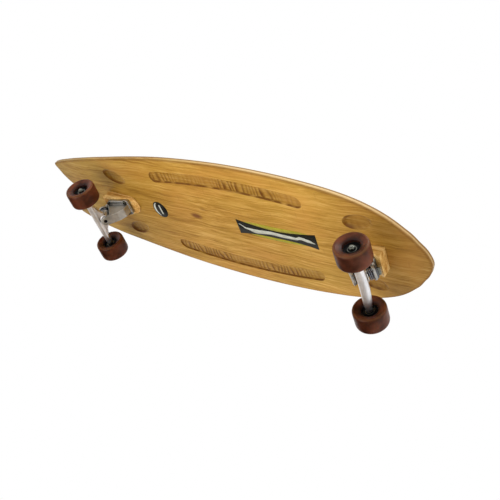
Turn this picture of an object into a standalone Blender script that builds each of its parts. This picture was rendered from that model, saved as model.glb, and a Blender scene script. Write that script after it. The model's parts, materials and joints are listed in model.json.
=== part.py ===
"""Surf-style longboard: a swallow-tail bamboo deck on two sprung carving trucks.

Metres. +X points to the nose, +Y to the rider's left, +Z up, and the wheels stand on z = 0.
Each truck is built once, in a frame whose origin lies under its axle and whose +X points to
the middle of the board. The front one is that frame turned half round.
"""

import math

import bmesh
import bpy
from mathutils import Euler, Matrix, Vector

COLLECTION_NAME = "longboard"
CUTTER_COLLECTION_NAME = "cutters"

GAP = 0.0003
MERGE = 0.00001
FLAT_ANGLE = math.radians(0.1)

# Wheels
WHEEL_RADIUS = 0.0415
WHEEL_HALF_WIDTH = 0.0253
WHEEL_CENTRE_Y = 0.1019
WHEEL_STEPS = 32
TREAD_HALF_WIDTH = 0.0213
LIP_RADIUS = 0.0365
LIP_INNER_RADIUS = 0.0325
DISH_RADIUS = 0.0228
DISH_DEPTH = 0.0065
CORE_RADIUS = 0.020
CORE_HALF_LENGTH = 0.0132
CORE_CENTRE_Y = 0.1005
BEARING_RADIUS = 0.011
BEARING_WIDTH = 0.007
BEARING_CENTRE_STEP = 0.0085
SPACER_RADIUS = 0.006
CORE_WEB_BORE_RADIUS = 0.008
AXLE_RADIUS = 0.00395
AXLE_HALF_LENGTH = 0.1215
AXLE_BORE_RADIUS = 0.0043
AXLE_NUT_ACROSS_FLATS = 0.013
AXLE_NUT_HEIGHT = 0.006
AXLE_NUT_EDGE = 0.0005
AXLE_NUT_PLAY = 0.0013
AXLE_Z = WHEEL_RADIUS * math.cos(math.pi / WHEEL_STEPS)

# Where the trucks stand
WHEELBASE = 0.8724
WHEELBASE_CENTRE_X = 0.0548

# Deck
DECK_BOTTOM_Z = 0.1348
DECK_THICKNESS = 0.014
DECK_TOP_Z = DECK_BOTTOM_Z + DECK_THICKNESS
RAIL_ROUNDING = 0.0024
GRIP_THICKNESS = 0.001
GRIP_INSET = 0.005
NOSE_RISE = 0.004
NOSE_RISE_FROM_X = 0.5048
NOSE_RISE_LENGTH = 0.125
TAIL_RISE = 0.010
TAIL_RISE_FROM_X = -0.4152
TAIL_RISE_LENGTH = 0.205
BEND_STATIONS = 6
HALF_OUTLINE = (
    (0.6163, 0.0000),
    (0.6133, 0.0165),
    (0.6053, 0.0368),
    (0.5913, 0.0566),
    (0.5758, 0.0782),
    (0.5638, 0.0901),
    (0.5398, 0.1121),
    (0.5148, 0.1296),
    (0.4888, 0.1431),
    (0.4608, 0.1547),
    (0.4038, 0.1706),
    (0.3118, 0.1854),
    (0.2128, 0.1946),
    (0.1048, 0.1988),
    (0.0248, 0.1981),
    (-0.0552, 0.1948),
    (-0.1442, 0.1881),
    (-0.2412, 0.1761),
    (-0.3462, 0.1600),
    (-0.4632, 0.1400),
    (-0.5432, 0.1217),
    (-0.6067, 0.1022),
    (-0.6162, 0.0968),
    (-0.6087, 0.0745),
    (-0.5982, 0.0550),
    (-0.5842, 0.0390),
    (-0.5652, 0.0210),
    (-0.5507, 0.0000),
)

# Routed channels along the rails
CHANNEL_CENTRE_X = 0.0608
CHANNEL_HALF_LENGTH = 0.2480
CHANNEL_HALF_WIDTH = 0.019
CHANNEL_CENTRE_Y = 0.140
CHANNEL_BOW = 0.28
CHANNEL_DEPTH = 0.0035
CHANNEL_SIDE_POINTS = 12
CHANNEL_END_POINTS = 6

# Scooped wheel wells
WELL_INWARD = 0.040
WELL_CENTRE_Y = 0.098
WELL_HALF_LENGTH = 0.041
WELL_HALF_WIDTH = 0.023
WELL_DEPTH = 0.005
WELL_FLOOR_SHARE = 0.80
WELL_TURN = math.radians(16)
WELL_STEPS = 28

# Wedge risers, in the truck frame
WEDGE_SLOPE = 0.249
WEDGE_Z_AT_AXLE = 0.1093
RISER_HALF_OUTLINE = (
    (-0.0180, 0.0350),
    (0.0740, 0.0290),
    (0.0842, 0.0220),
    (0.0893, 0.0110),
    (0.0910, 0.0035),
)
RISER_SPARE = 0.005
RISER_CUTTER_SIZE = (0.30, 0.12, 0.06)

# Truck base casting, in the truck frame
FLANGE_OUTER_X = -0.005
FLANGE_INNER_X = 0.068
FLANGE_HALF_WIDTH = 0.026
FLANGE_THICKNESS = 0.009
FLANGE_CORNER = 0.008
BODY_HALF_WIDTH = 0.0145
BODY_INNER_X = 0.066
BODY_OUTER_X = -0.001
BODY_IN_FLANGE = 0.003
BODY_FOOT_Z = 0.094
CAST_EDGE = 0.0012

# Steering axis, in the truck frame: distances along it are measured from the lower arm's face
AXIS_X = 0.028
AXIS_Z = 0.046
AXIS_TILT = math.radians(45)
ARM_THICKNESS = 0.007
ARM_HEEL = 0.0396
ARM_BOSS_RADIUS = 0.013
ARM_BOSS_SUNK = 0.0002
WASHER_FROM, WASHER_TO = 0.0073, 0.0093
WASHER_RADIUS = 0.0115
HUB_FROM, HUB_TO = 0.0096, 0.0330
HUB_RADIUS = 0.0135
SEAT_FROM, SEAT_TO = 0.0333, 0.0363
SEAT_RADIUS = 0.0152
SPRING_FROM, SPRING_TO = 0.0366, 0.0533
SPRING_RADIUS = 0.0124
SPRING_WIRE_RADIUS = 0.0018
SPRING_TURNS = 3
SPRING_POINTS_A_TURN = 16
CUP_FROM = 0.0490
CUP_INNER_RADIUS = 0.0156
CUP_RADIUS = 0.0180
CUP_SUNK = 0.0002
YOKE_FROM, YOKE_TO = 0.0536, 0.0600
YOKE_HALF_WIDTH = 0.0150
YOKE_NOSE_STEPS = 16
YOKE_FLARE = (
    (0.0100, 0.0155),
    (0.0170, 0.0180),
    (0.0230, 0.0220),
    (0.0280, 0.0250),
)
PIN_RADIUS = 0.0049
PIN_BORE_RADIUS = 0.0053
PIN_FROM = 0.0045
PIN_HEAD_FROM, PIN_HEAD_TO = 0.0604, 0.0674
PIN_HEAD_ACROSS_FLATS = 0.017
PIN_HEAD_EDGE = 0.0006
BACK_WALL = 0.016
BACK_WALL_TOP = 0.057
OVERLAP = 0.002

# Hanger: its bar's sections from the middle out, as distance from the middle, half size across
# the steering axis, half size along it, and how far the section sits along it from the axle
HANGER_SECTIONS = (
    (0.0000, 0.0104, 0.0122, 0.0031),
    (0.0200, 0.0102, 0.0120, 0.0029),
    (0.0360, 0.0099, 0.0116, 0.0021),
    (0.0500, 0.0096, 0.0112, 0.0012),
    (0.0620, 0.0094, 0.0104, 0.0005),
    (0.0720, 0.0092, 0.0096, 0.0000),
    (0.0742, 0.0086, 0.0086, 0.0000),
    (0.0855, 0.0086, 0.0086, 0.0000),
    (0.0860, 0.0063, 0.0063, 0.0000),
    (0.0881, 0.0061, 0.0061, 0.0000),
)
WEB_FROM, WEB_TO = 0.0120, 0.0232
WEB_HALF_OUTLINE = (
    (-0.0231, 0.0620),
    (-0.0151, 0.0580),
    (-0.0081, 0.0340),
    (0.0020, 0.0200),
    (0.0040, 0.0090),
)

# Mounting bolts, in the truck frame
BOLT_XS = (0.003, 0.057)
BOLT_Y = 0.0206
BOLT_RADIUS = 0.0024
BOLT_HOLE_RADIUS = 0.0028
BOLT_HEAD_RADIUS = 0.0049
BOLT_HEAD_HEIGHT = 0.0028
BOLT_TAIL = 0.002
COUNTERSINK_RADIUS = 0.0054
COUNTERSINK_PLAY = 0.0008
COUNTERSINK_RELIEF = 0.005
SPOT_FACE_RADIUS = 0.0056
SPOT_FACE_DEPTH = 0.0018
SPOT_FACE_RELIEF = 0.012
BOLT_NUT_ACROSS_FLATS = 0.008
BOLT_NUT_HEIGHT = 0.005

ROUND_STEPS = 20
SMALL_STEPS = 12


# ---------------------------------------------------------------- scene helpers


def clear_scene():
    for obj in list(bpy.data.objects):
        bpy.data.objects.remove(obj, do_unlink=True)


def new_collection(name, hidden=False):
    collection = bpy.data.collections.new(name)
    bpy.context.scene.collection.children.link(collection)
    collection.hide_render = hidden
    return collection


def new_material(name, colour, roughness, metallic=0.0):
    material = bpy.data.materials.new(name)
    material.use_nodes = True
    shader = material.node_tree.nodes["Principled BSDF"]
    shader.inputs["Base Color"].default_value = (*colour, 1.0)
    shader.inputs["Roughness"].default_value = roughness
    shader.inputs["Metallic"].default_value = metallic
    return material


def new_empty(name, parent, matrix):
    empty = bpy.data.objects.new(name, None)
    empty.parent = parent
    empty.matrix_local = matrix
    PARTS.objects.link(empty)
    return empty


def place(obj, parent, matrix, material):
    """Puts obj in its parent's frame. With no material it is a cutter or a helper."""
    obj.parent = parent
    obj.matrix_local = matrix
    if material:
        PARTS.objects.link(obj)
        obj.data.materials.clear()
        obj.data.materials.append(material)
    else:
        CUTTERS.objects.link(obj)
        obj.hide_render = True
        obj.display_type = "WIRE"
    return obj


def boolean(obj, other, operation="DIFFERENCE"):
    modifier = obj.modifiers.new(f"{operation.lower()} {other.name}", "BOOLEAN")
    modifier.operation = operation
    modifier.object = other


def weld(obj):
    modifier = obj.modifiers.new("weld", "WELD")
    modifier.merge_threshold = MERGE


def bevel(obj, width, segments=1):
    modifier = obj.modifiers.new("edge rounding", "BEVEL")
    modifier.width = width
    modifier.segments = segments
    modifier.limit_method = "ANGLE"
    modifier.angle_limit = math.radians(35)


# ---------------------------------------------------------------- shape helpers


def turned(name, profile, steps, start=0.0):
    """A profile of (radius, height), turned about Z. Its outer side runs from top to bottom."""
    mesh = bpy.data.meshes.new(name)
    points = [(r * math.cos(start), r * math.sin(start), z) for r, z in profile]
    count = len(points)
    closed = all(r > 0 for r, _ in profile)
    edges = [(i, (i + 1) % count) for i in range(count if closed else count - 1)]
    mesh.from_pydata(points, edges, [])
    obj = bpy.data.objects.new(name, mesh)
    screw = obj.modifiers.new("turn", "SCREW")
    screw.steps = steps
    screw.render_steps = steps
    screw.use_merge_vertices = True
    screw.merge_threshold = MERGE
    return obj


def cylinder(name, radius, low, high, steps=ROUND_STEPS):
    return turned(name, ((0, high), (radius, high), (radius, low), (0, low)), steps)


def tube(name, bore, radius, low, high, steps=ROUND_STEPS):
    profile = ((bore, high), (radius, high), (radius, low), (bore, low))
    return turned(name, profile, steps)


def prism(name, outlines, half_thickness):
    """A flat closed shape in XY, extruded both ways along Z. A second outline is a hole."""
    curve = bpy.data.curves.new(name, "CURVE")
    curve.dimensions = "2D"
    curve.fill_mode = "BOTH"
    curve.extrude = half_thickness
    for outline in outlines:
        spline = curve.splines.new("POLY")
        spline.points.add(len(outline) - 1)
        for point, (x, y) in zip(spline.points, outline):
            point.co = (x, y, 0, 1)
        spline.use_cyclic_u = True
    return meshed(bpy.data.objects.new(name, curve))


def meshed(curve_object):
    """The mesh object that a curve object evaluates to, with its caps joined on."""
    name = curve_object.name
    bpy.context.scene.collection.objects.link(curve_object)
    graph = bpy.context.evaluated_depsgraph_get()
    mesh = bpy.data.meshes.new_from_object(curve_object.evaluated_get(graph))
    work = bmesh.new()
    work.from_mesh(mesh)
    bmesh.ops.remove_doubles(work, verts=work.verts, dist=MERGE)
    work.to_mesh(mesh)
    work.free()
    spot = curve_object.matrix_world.copy()
    bpy.data.objects.remove(curve_object, do_unlink=True)
    obj = bpy.data.objects.new(name, mesh)
    obj.matrix_world = spot
    return obj


def ring(radius, steps=SMALL_STEPS, start=0.0):
    turns = [start + 2 * math.pi * i / steps for i in range(steps)]
    return [(radius * math.cos(a), radius * math.sin(a)) for a in turns]


def hexagon(across_flats):
    return ring(across_flats / math.sqrt(3), steps=6)


def rounded_corner(centre_x, centre_y, radius, from_deg, to_deg, points=4):
    turns = [math.radians(from_deg + (to_deg - from_deg) * i / points) for i in range(points + 1)]
    return [(centre_x + radius * math.cos(a), centre_y + radius * math.sin(a)) for a in turns]


# ---------------------------------------------------------------- frames

ALONG_Y = Matrix.Rotation(math.radians(-90), 4, "X")
SIDE_ON = Matrix.Rotation(math.radians(90), 4, "X")
STEERING = Matrix.Translation((AXIS_X, 0, AXIS_Z)) @ Matrix.Rotation(-AXIS_TILT, 4, "Y")


def wedge_z(x):
    """Height of the riser's sloping underside, in the truck frame."""
    return WEDGE_Z_AT_AXLE + WEDGE_SLOPE * x


def on_axis(across, along):
    """A point of the truck's middle plane, from its place across and along the steering axis."""
    point = STEERING @ Vector((across, 0, along))
    return point.x, point.z


# ---------------------------------------------------------------- deck


def deck_rise(x):
    """The rise of the nose and tail: flat from station to station, and on the curve at each."""
    nose = (x - NOSE_RISE_FROM_X) / NOSE_RISE_LENGTH
    tail = (TAIL_RISE_FROM_X - x) / TAIL_RISE_LENGTH
    return NOSE_RISE * stepped_square(nose) + TAIL_RISE * stepped_square(tail)


def stepped_square(share):
    if share <= 0:
        return 0.0
    low = math.floor(share * BEND_STATIONS) / BEND_STATIONS
    high = low + 1 / BEND_STATIONS
    return low**2 + (high**2 - low**2) * (share - low) / (high - low)


def deck_sheet(name, inset, low, thickness):
    """The deck's outline, drawn in by inset, as a sheet that follows the nose and tail rise."""
    half = list(HALF_OUTLINE)
    outline = half + [(x, -y) for x, y in reversed(half[1:-1])]
    curve = bpy.data.curves.new(name, "CURVE")
    curve.dimensions = "2D"
    curve.fill_mode = "BOTH"
    curve.resolution_u = 2
    curve.extrude = thickness / 2
    curve.offset = inset
    spline = curve.splines.new("BEZIER")
    spline.bezier_points.add(len(outline) - 1)
    for point, (x, y) in zip(spline.bezier_points, outline):
        point.co = (x, y, 0)
        point.handle_left_type = "AUTO"
        point.handle_right_type = "AUTO"
    spline.use_cyclic_u = True
    obj = meshed(bpy.data.objects.new(name, curve))
    bend(obj.data, low + thickness / 2)
    return obj


def bend(mesh, middle_z):
    work = bmesh.new()
    work.from_mesh(mesh)
    bmesh.ops.dissolve_limit(
        work, angle_limit=FLAT_ANGLE, verts=work.verts[:], edges=work.edges[:]
    )
    for i in range(BEND_STATIONS):
        share = i / BEND_STATIONS
        for x in (
            NOSE_RISE_FROM_X + NOSE_RISE_LENGTH * share,
            TAIL_RISE_FROM_X - TAIL_RISE_LENGTH * share,
        ):
            everything = work.verts[:] + work.edges[:] + work.faces[:]
            bmesh.ops.bisect_plane(work, geom=everything, plane_co=(x, 0, 0), plane_no=(1, 0, 0))
    for vert in work.verts:
        vert.co.z += middle_z + deck_rise(vert.co.x)
    work.to_mesh(mesh)
    work.free()


def channel_outline(side):
    """A bowed strip with round ends, along the rail on the given side."""
    straight = CHANNEL_HALF_LENGTH - CHANNEL_HALF_WIDTH
    strip = []
    for i in range(CHANNEL_SIDE_POINTS):
        strip.append((straight * (2 * i / CHANNEL_SIDE_POINTS - 1), -CHANNEL_HALF_WIDTH))
    strip += rounded_corner(straight, 0, CHANNEL_HALF_WIDTH, -90, 90, CHANNEL_END_POINTS)
    strip += [(-x, -y) for x, y in strip]
    return [
        (CHANNEL_CENTRE_X + x, side * (CHANNEL_CENTRE_Y - CHANNEL_BOW * x**2 + y))
        for x, y in strip
    ]


def build_channel_cutters():
    cutters = []
    for side, name in ((1, "left"), (-1, "right")):
        cutter = prism(f"channel_cutter_{name}", [channel_outline(side)], CHANNEL_DEPTH)
        cutters.append(place(cutter, None, Matrix.Translation((0, 0, DECK_BOTTOM_Z)), None))
    return cutters


def build_well_cutters():
    cutters = []
    for end, axle_x in TRUCK_X.items():
        inward = -1 if end == "front" else 1
        for side, side_name in ((1, "left"), (-1, "right")):
            mesh = bpy.data.meshes.new(f"well_cutter_{end}_{side_name}")
            work = bmesh.new()
            mouth = 2 - WELL_FLOOR_SHARE
            bmesh.ops.create_cone(
                work,
                cap_ends=True,
                segments=WELL_STEPS,
                radius1=mouth,
                radius2=WELL_FLOOR_SHARE,
                depth=2 * WELL_DEPTH,
            )
            work.to_mesh(mesh)
            work.free()
            size = Matrix.Diagonal((WELL_HALF_LENGTH, WELL_HALF_WIDTH, 1, 1))
            turn = Matrix.Rotation(-inward * side * WELL_TURN, 4, "Z")
            spot = Matrix.Translation(
                (axle_x + inward * WELL_INWARD, side * WELL_CENTRE_Y, DECK_BOTTOM_Z)
            )
            cutter = bpy.data.objects.new(mesh.name, mesh)
            cutters.append(place(cutter, None, spot @ turn @ size, None))
    return cutters


def build_deck():
    deck = deck_sheet("deck", 0.0, DECK_BOTTOM_Z, DECK_THICKNESS)
    place(deck, None, Matrix.Identity(4), BAMBOO)
    bevel(deck, RAIL_ROUNDING, segments=2)
    for cutter in build_channel_cutters() + build_well_cutters():
        boolean(deck, cutter)
    grip = deck_sheet("grip_sheet", -GRIP_INSET, DECK_TOP_Z + GAP, GRIP_THICKNESS)
    place(grip, None, Matrix.Identity(4), GRIP)
    return deck, grip


# ---------------------------------------------------------------- riser and base casting


def build_riser(frame, end):
    half = list(RISER_HALF_OUTLINE)
    outline = half + [(x, -y) for x, y in reversed(half)]
    top = DECK_BOTTOM_Z - GAP
    low = wedge_z(half[0][0]) - RISER_SPARE
    riser = prism(f"riser_{end}", [outline], (top - low) / 2)
    place(riser, frame, Matrix.Translation((0, 0, (top + low) / 2)), RISER_WOOD)
    below = block(f"riser_cutter_{end}", RISER_CUTTER_SIZE)
    slope = Matrix.Rotation(-math.atan(WEDGE_SLOPE), 4, "Y")
    drop = Matrix.Translation((0, 0, -RISER_CUTTER_SIZE[2] / 2))
    place(below, frame, Matrix.Translation((0, 0, wedge_z(0))) @ slope @ drop, None)
    boolean(riser, below)
    return riser


def block(name, size):
    mesh = bpy.data.meshes.new(name)
    work = bmesh.new()
    bmesh.ops.create_cube(work, size=1.0, matrix=Matrix.Diagonal((*size, 1)))
    work.to_mesh(mesh)
    work.free()
    return bpy.data.objects.new(name, mesh)


def flange_outline():
    half_length = (FLANGE_INNER_X - FLANGE_OUTER_X) / 2
    x = half_length - FLANGE_CORNER
    y = FLANGE_HALF_WIDTH - FLANGE_CORNER
    corners = ((x, y, 0), (-x, y, 90), (-x, -y, 180), (x, -y, 270))
    return [
        point
        for cx, cy, turn in corners
        for point in rounded_corner(cx, cy, FLANGE_CORNER, turn, turn + 90)
    ]


def build_base(frame, end):
    """The cast base: a flange on the riser, and a C-shaped body that holds the steering pin."""
    slope = math.atan(WEDGE_SLOPE)
    flange = prism(f"truck_base_{end}", [flange_outline()], FLANGE_THICKNESS / 2)
    middle = (FLANGE_INNER_X + FLANGE_OUTER_X) / 2
    spot = Matrix.Translation((middle, 0, wedge_z(middle)))
    drop = Matrix.Translation((0, 0, -GAP - FLANGE_THICKNESS / 2))
    place(flange, frame, spot @ Matrix.Rotation(-slope, 4, "Y") @ drop, CAST)
    bevel(flange, CAST_EDGE)

    side = [
        (BODY_INNER_X, wedge_z(BODY_INNER_X) - BODY_IN_FLANGE),
        (BODY_INNER_X, BODY_FOOT_Z),
        on_axis(ARM_HEEL, 0.0),
        on_axis(0.0, 0.0),
        on_axis(0.0, ARM_THICKNESS),
        on_axis(BACK_WALL, ARM_THICKNESS),
        on_axis(BACK_WALL, BACK_WALL_TOP),
        (BODY_OUTER_X, wedge_z(BODY_OUTER_X) - 2 * BODY_IN_FLANGE),
    ]
    body = prism(f"base_body_{end}", [side], BODY_HALF_WIDTH)
    place(body, frame, SIDE_ON, None)
    bevel(body, CAST_EDGE)
    boss_top = ARM_THICKNESS - ARM_BOSS_SUNK
    boss = cylinder(f"base_boss_{end}", ARM_BOSS_RADIUS, ARM_BOSS_SUNK, boss_top)
    place(boss, frame, STEERING, None)
    yoke = prism(f"base_yoke_{end}", [yoke_outline()], (YOKE_TO - YOKE_FROM) / 2)
    lift = Matrix.Translation((0, 0, (YOKE_FROM + YOKE_TO) / 2))
    place(yoke, frame, STEERING @ lift, None)
    bevel(yoke, CAST_EDGE)
    cup = cylinder(f"base_cup_{end}", CUP_RADIUS, CUP_FROM, YOKE_FROM + OVERLAP)
    place(cup, frame, STEERING, None)
    for piece in (body, boss, yoke, cup):
        boolean(flange, piece, "UNION")

    pocket_top = YOKE_FROM + CUP_SUNK
    pocket = cylinder(f"cup_cutter_{end}", CUP_INNER_RADIUS, CUP_FROM - OVERLAP, pocket_top)
    bore = cylinder(f"pin_cutter_{end}", PIN_BORE_RADIUS, -OVERLAP, YOKE_TO + OVERLAP)
    for cutter in (pocket, bore):
        place(cutter, frame, STEERING, None)
        boolean(flange, cutter)
    return flange


def yoke_outline():
    """Round about the pin, then curving out to the flange's full width."""
    quarter = YOKE_NOSE_STEPS // 4 + 1
    nose = [(-x, y) for x, y in ring(YOKE_HALF_WIDTH, YOKE_NOSE_STEPS)[:quarter]]
    half = nose + list(YOKE_FLARE)
    return half + [(x, -y) for x, y in reversed(half[1:])]


# ---------------------------------------------------------------- steering


def build_steering(frame, steer, end):
    """Pieces on the steering axis. Those that turn with the hanger have steer as their parent."""
    still = STEERING
    turning = Matrix.Identity(4)

    pin = prism(
        f"kingpin_{end}", [hexagon(PIN_HEAD_ACROSS_FLATS)], (PIN_HEAD_TO - PIN_HEAD_FROM) / 2
    )
    head = Matrix.Translation((0, 0, (PIN_HEAD_FROM + PIN_HEAD_TO) / 2))
    place(pin, frame, still @ head, STEEL)
    bevel(pin, PIN_HEAD_EDGE)
    shank = cylinder(f"kingpin_shank_{end}", PIN_RADIUS, PIN_FROM, PIN_HEAD_TO - OVERLAP)
    place(shank, frame, still, None)
    boolean(pin, shank, "UNION")

    washer = tube(f"pivot_washer_{end}", PIN_BORE_RADIUS, WASHER_RADIUS, WASHER_FROM, WASHER_TO)
    place(washer, frame, still, BRONZE)
    seat = tube(f"spring_seat_{end}", PIN_BORE_RADIUS, SEAT_RADIUS, SEAT_FROM, SEAT_TO)
    place(seat, steer, turning, STEEL)
    place(build_spring(end), frame, still, SPRING_STEEL)


def build_spring(end):
    low = SPRING_FROM + SPRING_WIRE_RADIUS
    high = SPRING_TO - SPRING_WIRE_RADIUS
    curve = bpy.data.curves.new(f"centring_spring_{end}", "CURVE")
    curve.dimensions = "3D"
    curve.bevel_depth = SPRING_WIRE_RADIUS
    curve.bevel_resolution = 2
    curve.use_fill_caps = True
    spline = curve.splines.new("POLY")
    count = SPRING_TURNS * SPRING_POINTS_A_TURN
    spline.points.add(count)
    for i, point in enumerate(spline.points):
        turn = 2 * math.pi * i / SPRING_POINTS_A_TURN
        height = low + (high - low) * i / count
        point.co = (SPRING_RADIUS * math.cos(turn), SPRING_RADIUS * math.sin(turn), height, 1)
    return bpy.data.objects.new(curve.name, curve)


def hanger_bar(name, centre):
    """The bar's oval sections, from one end to the other, skinned into one closed piece."""
    sections = [(-y, *rest) for y, *rest in reversed(HANGER_SECTIONS[1:])]
    sections += HANGER_SECTIONS
    work = bmesh.new()
    rings = []
    for y, across, along, shift in sections:
        points = [
            Vector((centre.x + across * c, y, centre.z + shift + along * s))
            for c, s in ring(1.0, ROUND_STEPS)
        ]
        rings.append([work.verts.new(point) for point in points])
    for near, far in zip(rings, rings[1:]):
        for i in range(ROUND_STEPS):
            work.faces.new((near[i - 1], near[i], far[i], far[i - 1]))
    work.faces.new(list(reversed(rings[0])))
    work.faces.new(rings[-1])
    bmesh.ops.recalc_face_normals(work, faces=work.faces[:])
    mesh = bpy.data.meshes.new(name)
    work.to_mesh(mesh)
    work.free()
    return bpy.data.objects.new(name, mesh)


def build_hanger(steer, end):
    """The bar that carries the axle, webbed to the hub that turns on the steering pin."""
    to_truck = STEERING.inverted()
    axle_spot = to_truck @ Matrix.Translation((0, 0, AXLE_Z)) @ ALONG_Y
    bar = hanger_bar(f"hanger_{end}", axle_spot.translation)
    place(bar, steer, Matrix.Identity(4), CAST_POLISHED)

    hub = cylinder(f"hanger_hub_{end}", HUB_RADIUS, HUB_FROM, HUB_TO)
    place(hub, steer, Matrix.Identity(4), None)
    half = list(WEB_HALF_OUTLINE)
    outline = half + [(x, -y) for x, y in reversed(half)]
    web = prism(f"hanger_web_{end}", [outline], (WEB_TO - WEB_FROM) / 2)
    place(web, steer, Matrix.Translation((0, 0, (WEB_FROM + WEB_TO) / 2)), None)
    bevel(web, CAST_EDGE)
    boolean(bar, hub, "UNION")
    boolean(bar, web, "UNION")

    pin_bore = cylinder(f"hub_cutter_{end}", PIN_BORE_RADIUS, HUB_FROM - OVERLAP, HUB_TO + OVERLAP)
    place(pin_bore, steer, Matrix.Identity(4), None)
    reach = HANGER_SECTIONS[-1][0] + OVERLAP
    axle_bore = cylinder(f"axle_cutter_{end}", AXLE_BORE_RADIUS, -reach, reach)
    place(axle_bore, steer, axle_spot, None)
    boolean(bar, pin_bore)
    boolean(bar, axle_bore)

    rod = cylinder(f"axle_{end}", AXLE_RADIUS, -AXLE_HALF_LENGTH, AXLE_HALF_LENGTH)
    place(rod, steer, axle_spot, STEEL)


# ---------------------------------------------------------------- wheels


def mirrored_ring(half):
    """A closed ring profile from its half above the middle, outer side first."""
    return list(half) + [(r, -z) for r, z in reversed(half)]


def build_wheel(steer, end, side, side_name):
    """One wheel on its own empty, which lies on the axle at the wheel's middle."""
    to_truck = STEERING.inverted()
    outward = ALONG_Y if side > 0 else SIDE_ON
    spot = Matrix.Translation((0, side * WHEEL_CENTRE_Y, AXLE_Z)) @ outward
    name = f"{end}_{side_name}"
    hub = new_empty(f"wheel_frame_{name}", steer, to_truck @ spot)
    half_step = math.pi / WHEEL_STEPS

    bore = CORE_RADIUS + GAP
    tyre_half = (
        (bore, CORE_HALF_LENGTH),
        (DISH_RADIUS, WHEEL_HALF_WIDTH - DISH_DEPTH),
        (LIP_INNER_RADIUS, WHEEL_HALF_WIDTH),
        (LIP_RADIUS, WHEEL_HALF_WIDTH),
        (WHEEL_RADIUS, TREAD_HALF_WIDTH),
    )
    tyre = turned(f"tyre_{name}", mirrored_ring(tyre_half), WHEEL_STEPS, start=half_step)
    place(tyre, hub, Matrix.Identity(4), URETHANE)

    inset = Matrix.Translation((0, 0, CORE_CENTRE_Y - WHEEL_CENTRE_Y))
    seat = BEARING_RADIUS + GAP
    web = BEARING_CENTRE_STEP - BEARING_WIDTH / 2 - GAP
    core_half = (
        (CORE_WEB_BORE_RADIUS, web),
        (seat, web),
        (seat, CORE_HALF_LENGTH),
        (CORE_RADIUS, CORE_HALF_LENGTH),
    )
    core = turned(f"wheel_core_{name}", mirrored_ring(core_half), ROUND_STEPS)
    place(core, hub, inset, BLACK_PLASTIC)

    for step, which in ((-1, "inner"), (1, "outer")):
        half = BEARING_WIDTH / 2
        bearing = tube(f"bearing_{which}_{name}", AXLE_BORE_RADIUS, BEARING_RADIUS, -half, half)
        shift = Matrix.Translation((0, 0, step * BEARING_CENTRE_STEP))
        place(bearing, hub, inset @ shift, STEEL)
    spacer = tube(f"bearing_spacer_{name}", AXLE_BORE_RADIUS, SPACER_RADIUS, -web, web, SMALL_STEPS)
    place(spacer, hub, inset, STEEL)

    nut = prism(
        f"axle_nut_{name}",
        [hexagon(AXLE_NUT_ACROSS_FLATS), ring(AXLE_BORE_RADIUS)],
        AXLE_NUT_HEIGHT / 2,
    )
    bearing_face = CORE_CENTRE_Y + BEARING_CENTRE_STEP + BEARING_WIDTH / 2
    nut_y = bearing_face + AXLE_NUT_PLAY + AXLE_NUT_HEIGHT / 2
    place(nut, steer, to_truck @ Matrix.Translation((0, side * nut_y, AXLE_Z)) @ outward, STEEL)
    bevel(nut, AXLE_NUT_EDGE)


# ---------------------------------------------------------------- mounting bolts


def build_bolts(frame, end, drilled):
    """The four bolts of a truck, with a nut on each, and the holes for them in drilled."""
    spots = [(x, side * BOLT_Y) for x in BOLT_XS for side in (1, -1)]
    for number, (x, y) in enumerate(spots, start=1):
        spot = Matrix.Translation((x, y, 0))
        thickness = FLANGE_THICKNESS / math.cos(math.atan(WEDGE_SLOPE))
        spot_z = wedge_z(x) - thickness + SPOT_FACE_DEPTH
        head_top = DECK_TOP_Z + GRIP_THICKNESS
        head_low = head_top - BOLT_HEAD_HEIGHT
        nut_top = spot_z - GAP
        name = f"{end}_{number}"

        profile = (
            (0, head_top + COUNTERSINK_RELIEF),
            (COUNTERSINK_RADIUS, head_top + COUNTERSINK_RELIEF),
            (COUNTERSINK_RADIUS, head_top - COUNTERSINK_PLAY),
            (BOLT_HOLE_RADIUS, head_low - COUNTERSINK_PLAY),
            (BOLT_HOLE_RADIUS, spot_z),
            (SPOT_FACE_RADIUS, spot_z),
            (SPOT_FACE_RADIUS, spot_z - SPOT_FACE_RELIEF),
            (0, spot_z - SPOT_FACE_RELIEF),
        )
        cutter = turned(f"bolt_cutter_{name}", profile, SMALL_STEPS)
        place(cutter, frame, spot, None)
        for piece in drilled:
            boolean(piece, cutter)

        profile = (
            (0, head_top),
            (BOLT_HEAD_RADIUS, head_top),
            (BOLT_RADIUS, head_low),
            (BOLT_RADIUS, nut_top - BOLT_NUT_HEIGHT - BOLT_TAIL),
            (0, nut_top - BOLT_NUT_HEIGHT - BOLT_TAIL),
        )
        bolt = turned(f"deck_bolt_{name}", profile, SMALL_STEPS)
        place(bolt, frame, spot, BLACK_STEEL)

        nut = prism(
            f"deck_nut_{name}",
            [hexagon(BOLT_NUT_ACROSS_FLATS), ring(BOLT_HOLE_RADIUS)],
            BOLT_NUT_HEIGHT / 2,
        )
        lift = Matrix.Translation((0, 0, nut_top - BOLT_NUT_HEIGHT / 2))
        place(nut, frame, spot @ lift, STEEL)


# ---------------------------------------------------------------- assembly

clear_scene()
PARTS = new_collection(COLLECTION_NAME)
CUTTERS = new_collection(CUTTER_COLLECTION_NAME, hidden=True)

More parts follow.
